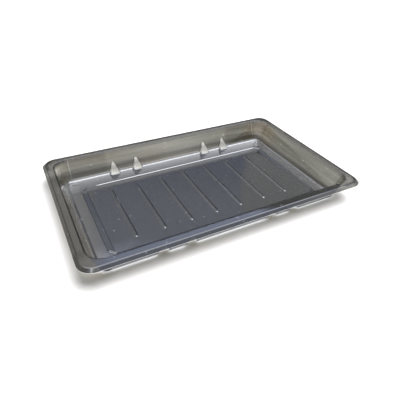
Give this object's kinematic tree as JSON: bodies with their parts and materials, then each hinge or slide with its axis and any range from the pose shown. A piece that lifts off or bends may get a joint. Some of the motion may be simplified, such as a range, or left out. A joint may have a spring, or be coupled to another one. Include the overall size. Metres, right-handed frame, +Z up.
{
  "type": "humidity dome tray",
  "caption": "Shallow rectangular propagation tray of clear smoke-tinted plastic with a flat rim, turned-down lip, sloping walls, wall gussets and a ribbed floor; a dome or inserts rest on it.",
  "frame": {"origin": "centre of the footprint, on the plane the tray rests on", "axes": "+X along the tray's length, +Y across its width, +Z up out of the open mouth"},
  "size_m": [0.3802, 0.2408, 0.0335],
  "materials": {
    "smoke_clear_plastic": "gloss, clear smoke tint"
  },
  "bodies": {
    "root": {"tray_shell": "smoke_clear_plastic"}
  },
  "joints": []
}
